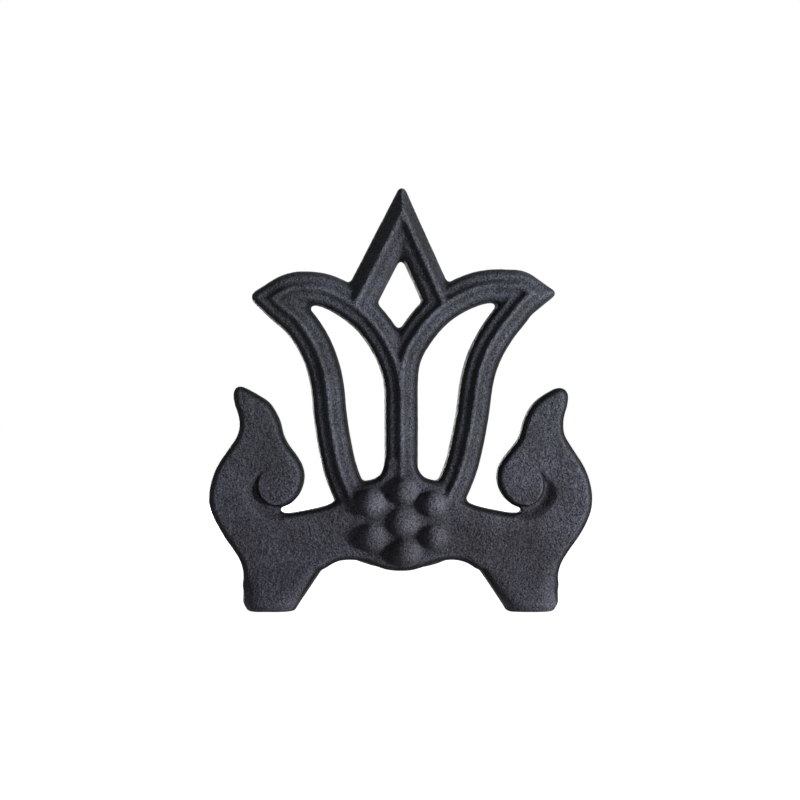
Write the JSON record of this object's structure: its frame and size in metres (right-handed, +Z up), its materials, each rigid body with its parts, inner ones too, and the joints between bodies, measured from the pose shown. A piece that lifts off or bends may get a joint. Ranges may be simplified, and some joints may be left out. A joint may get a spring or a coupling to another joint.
{
  "type": "railing finial",
  "caption": "Cast iron railing finial: a spear point over open moulded petals, a berried boss, scrolled arms and feet that stand on a rail.",
  "frame": {"origin": "midway between the two feet, on the ground, in the parting plane of the mould", "axes": "+X to the right, +Y to the back, +Z up to the spear's point; the front faces -Y"},
  "size_m": [0.1357, 0.0202, 0.15],
  "materials": {
    "cast_iron": "as sand cast, fine grained, dark and dull"
  },
  "bodies": {
    "root": {"finial_casting": "cast_iron"}
  },
  "joints": []
}
